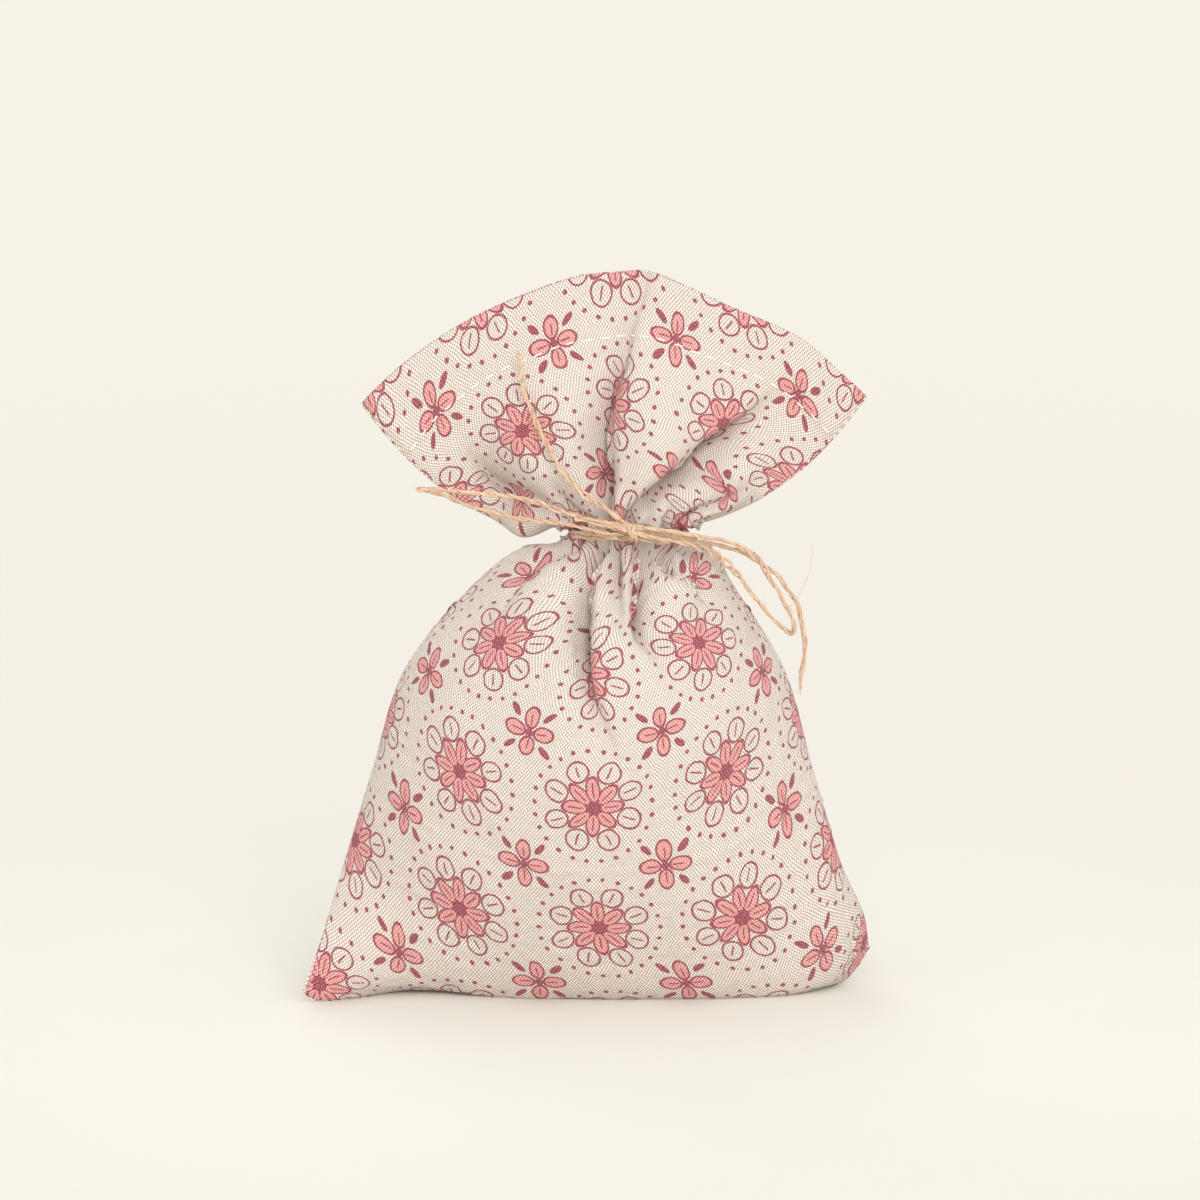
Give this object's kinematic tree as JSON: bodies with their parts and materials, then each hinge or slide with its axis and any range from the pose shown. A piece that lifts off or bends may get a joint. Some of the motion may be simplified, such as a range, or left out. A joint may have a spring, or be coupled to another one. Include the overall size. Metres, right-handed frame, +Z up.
{
  "type": "tied fabric pouch",
  "caption": "Stuffed fabric pouch standing on its base, gathered at the neck and tied with a jute twine bow.",
  "frame": {"origin": "on the surface that the pouch stands on, under the middle of its box without the free twine", "axes": "+X towards the right-hand side seam as seen from the front, +Y to the back, +Z up"},
  "size_m": [0.1252, 0.0644, 0.1595],
  "materials": {
    "printed_linen": "half-panama weave, block printed",
    "jute_twine": "two-ply, hairy, natural",
    "dried_lavender": "loose dried buds"
  },
  "bodies": {
    "pouch": {"front_panel": "printed_linen", "back_panel": "printed_linen", "filling": "dried_lavender", "neck_twine": "jute_twine", "bow_knot": "jute_twine"},
    "ruffle": {"front_ruffle": "printed_linen", "back_ruffle": "printed_linen"},
    "upper_end": {"bow_end_up": "jute_twine"},
    "left_loop": {"bow_loop_left": "jute_twine"},
    "right_bow": {"bow_loop_right": "jute_twine", "bow_end_right": "jute_twine"}
  },
  "joints": [
    {"name": "ruffle_nod", "type": "hinge", "parent": "pouch", "child": "ruffle", "pos_m": [0.0088, 0, 0.1035], "axis": [1, 0, 0], "range_deg": [-20, 20], "stiffness_Nm_per_rad": 0.012},
    {"name": "upper_end_lean", "type": "hinge", "parent": "pouch", "child": "upper_end", "pos_m": [0.0085, -0.0131, 0.1039], "axis": [1, 0, 0], "range_deg": [-20, 20]},
    {"name": "left_loop_lift", "type": "hinge", "parent": "pouch", "child": "left_loop", "pos_m": [0.0085, -0.0131, 0.1039], "axis": [0, 0, 1], "range_deg": [0, 40], "stiffness_Nm_per_rad": 0.00002},
    {"name": "right_bow_lift", "type": "hinge", "parent": "pouch", "child": "right_bow", "pos_m": [0.0085, -0.0131, 0.1039], "axis": [0, 0, -1], "range_deg": [0, 40], "stiffness_Nm_per_rad": 0.00004}
  ],
  "couplings": [
    {"joint": "upper_end_lean", "follows": "ruffle_nod", "ratio": 1}
  ]
}
